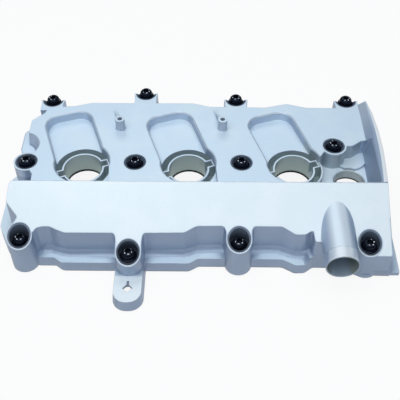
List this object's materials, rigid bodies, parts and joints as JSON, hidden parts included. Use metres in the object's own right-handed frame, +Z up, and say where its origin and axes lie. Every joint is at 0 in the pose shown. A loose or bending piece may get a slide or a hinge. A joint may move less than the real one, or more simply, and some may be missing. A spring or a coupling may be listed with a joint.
{
  "type": "engine valve cover",
  "caption": "Cast valve cover for a three-cylinder bank, with injector wells, breather spigot, bracket lug and captive bolts.",
  "frame": {"origin": "on the gasket's lower face, under the middle of the part's overall box", "axes": "+X along the cylinder bank towards the end with the spigot, +Y from the lug side to the back row of bolts, +Z up out of the roof, along the injector bores"},
  "size_m": [0.3354, 0.2156, 0.0637],
  "materials": {
    "cast_aluminium": "satin, fine shot-blasted casting skin",
    "plate_aluminium": "mill finish sheet",
    "black_rubber": "matt moulded rubber",
    "grommet_rubber": "matt moulded rubber",
    "black_bolt": "glossy black coating",
    "sleeve_steel": "turned, zinc plated"
  },
  "bodies": {
    "root": {"cover_casting": "cast_aluminium", "perimeter_gasket": "black_rubber", "injector_seal_left": "black_rubber", "injector_seal_centre": "black_rubber", "injector_seal_right": "black_rubber", "port_seal": "black_rubber", "bolts_front_row": "black_bolt", "sleeves_front_row": "sleeve_steel", "grommet_front_1": "grommet_rubber", "grommet_front_2": "grommet_rubber", "grommet_front_3": "grommet_rubber", "grommet_front_4": "grommet_rubber", "bolts_middle_row": "black_bolt", "sleeves_middle_row": "sleeve_steel", "grommet_middle_1": "grommet_rubber", "grommet_middle_2": "grommet_rubber", "grommet_middle_3": "grommet_rubber", "grommet_middle_4": "grommet_rubber", "bolts_back_row": "black_bolt", "sleeves_back_row": "sleeve_steel", "grommet_back_1": "grommet_rubber", "grommet_back_2": "grommet_rubber", "grommet_back_3": "grommet_rubber", "grommet_back_4": "grommet_rubber", "separator_plate": "plate_aluminium", "separator_screws": "sleeve_steel"}
  },
  "joints": []
}
